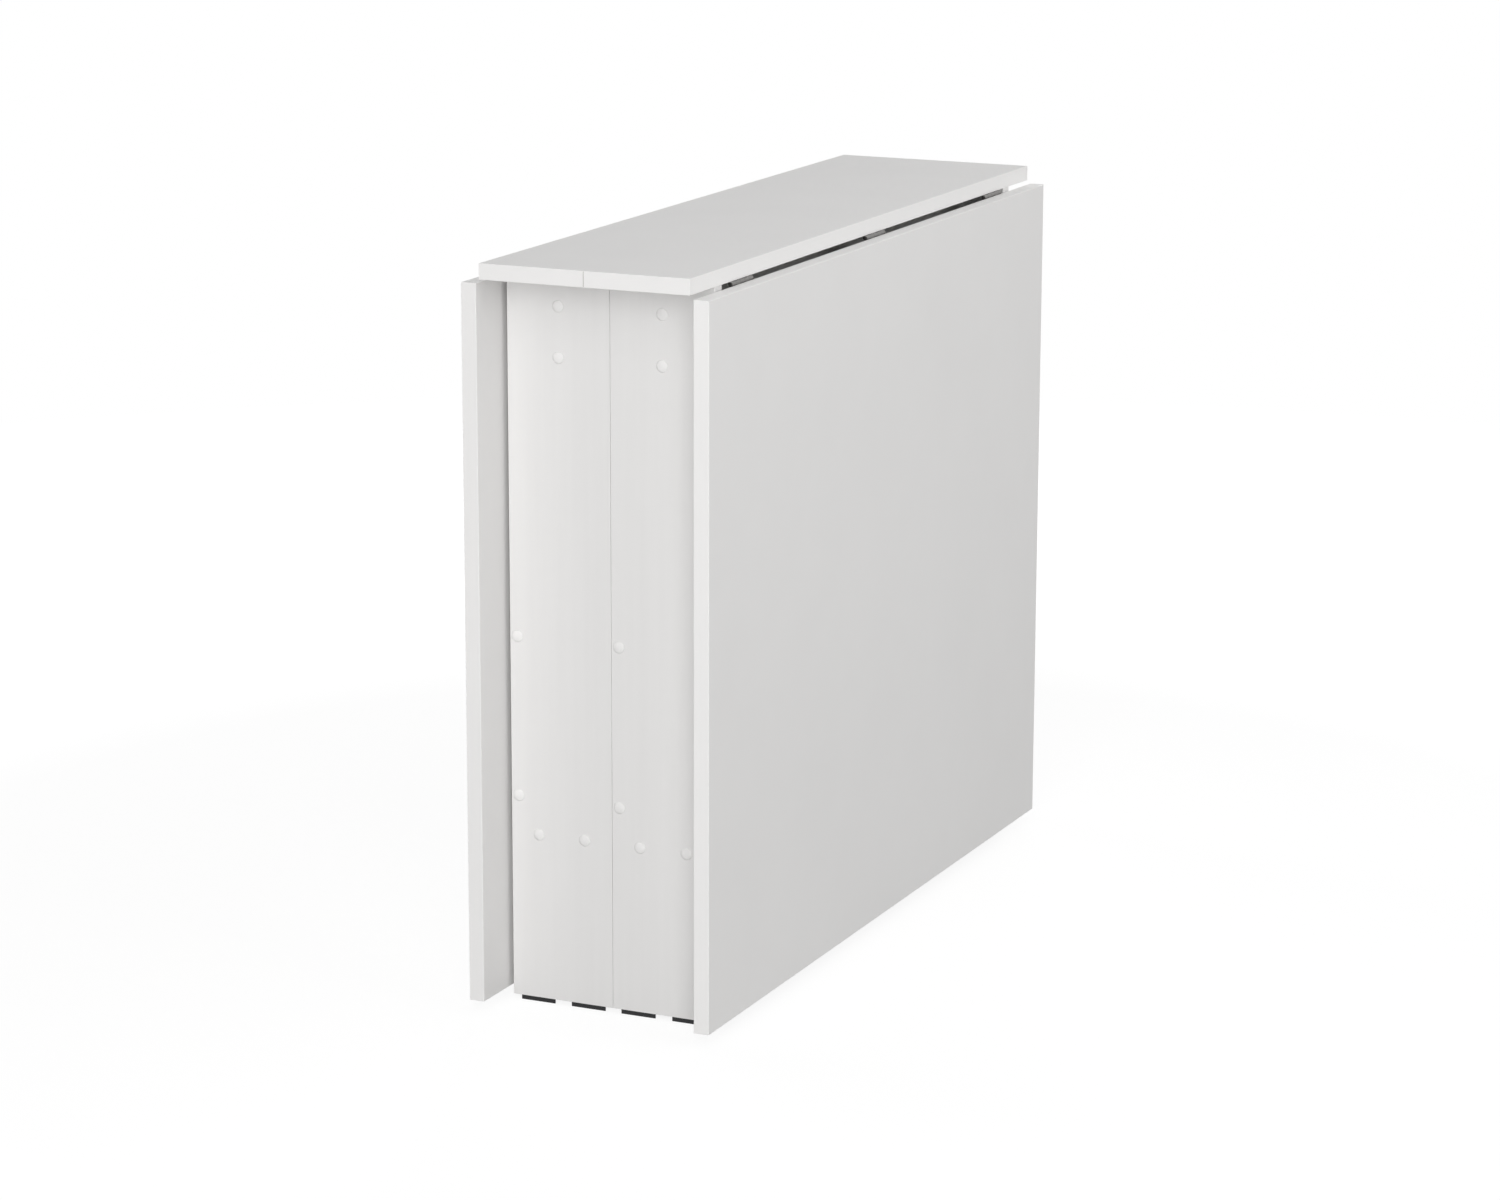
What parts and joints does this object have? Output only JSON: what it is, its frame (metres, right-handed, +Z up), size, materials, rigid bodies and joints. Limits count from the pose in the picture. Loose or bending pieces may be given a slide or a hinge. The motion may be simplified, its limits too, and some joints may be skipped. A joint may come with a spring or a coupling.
{
  "type": "folding console table",
  "caption": "Narrow white board console table on paired leg frames, with a long drop leaf hinged along each side that lifts to make a dining table.",
  "frame": {"origin": "on the floor, under the middle of the folded table", "axes": "+Z up; Y along the table's length, the near end at -Y; X across it, towards the right leaf"},
  "size_m": [0.261, 0.88, 0.75],
  "materials": {
    "white_board": "white melamine-faced chipboard, satin",
    "edge_band": "white plastic edge band, satin",
    "white_plastic": "white moulded screw cap, satin",
    "black_plastic": "black moulded glide, matte",
    "nickel_steel": "nickel-plated pressed steel",
    "zinc_steel": "zinc-plated steel",
    "nylon": "natural nylon"
  },
  "bodies": {
    "base": {"table_top": "white_board", "top_edge_band": "edge_band", "left_near_leg_board": "white_board", "left_far_leg_board": "white_board", "left_upper_rail": "white_board", "left_lower_stretcher": "white_board", "left_back_panel": "white_board", "left_joint_screws": "zinc_steel", "left_screw_caps": "white_plastic", "left_foot_glides": "black_plastic", "left_glide_nails": "zinc_steel", "left_pivot_pin": "zinc_steel", "left_pivot_bush": "nylon", "left_hinge_top_wings": "nickel_steel", "left_hinge_pins": "nickel_steel", "left_hinge_top_screws": "zinc_steel", "right_near_leg_board": "white_board", "right_far_leg_board": "white_board", "right_upper_rail": "white_board", "right_lower_stretcher": "white_board", "right_back_panel": "white_board", "right_joint_screws": "zinc_steel", "right_screw_caps": "white_plastic", "right_foot_glides": "black_plastic", "right_glide_nails": "zinc_steel", "right_pivot_pin": "zinc_steel", "right_pivot_bush": "nylon", "right_hinge_top_wings": "nickel_steel", "right_hinge_pins": "nickel_steel", "right_hinge_top_screws": "zinc_steel"},
    "left_leaf_body": {"left_leaf": "white_board", "left_leaf_edge_band": "edge_band", "left_hinge_leaf_wings": "nickel_steel", "left_hinge_leaf_screws": "zinc_steel"},
    "right_leaf_body": {"right_leaf": "white_board", "right_leaf_edge_band": "edge_band", "right_hinge_leaf_wings": "nickel_steel", "right_hinge_leaf_screws": "zinc_steel"}
  },
  "joints": [
    {"name": "left_leaf_hinge", "type": "hinge", "parent": "base", "child": "left_leaf_body", "pos_m": [-0.1122, 0, 0.7317], "axis": [0, 1, 0], "range_deg": [0, 90]},
    {"name": "right_leaf_hinge", "type": "hinge", "parent": "base", "child": "right_leaf_body", "pos_m": [0.1122, 0, 0.7317], "axis": [0, -1, 0], "range_deg": [0, 90]}
  ]
}
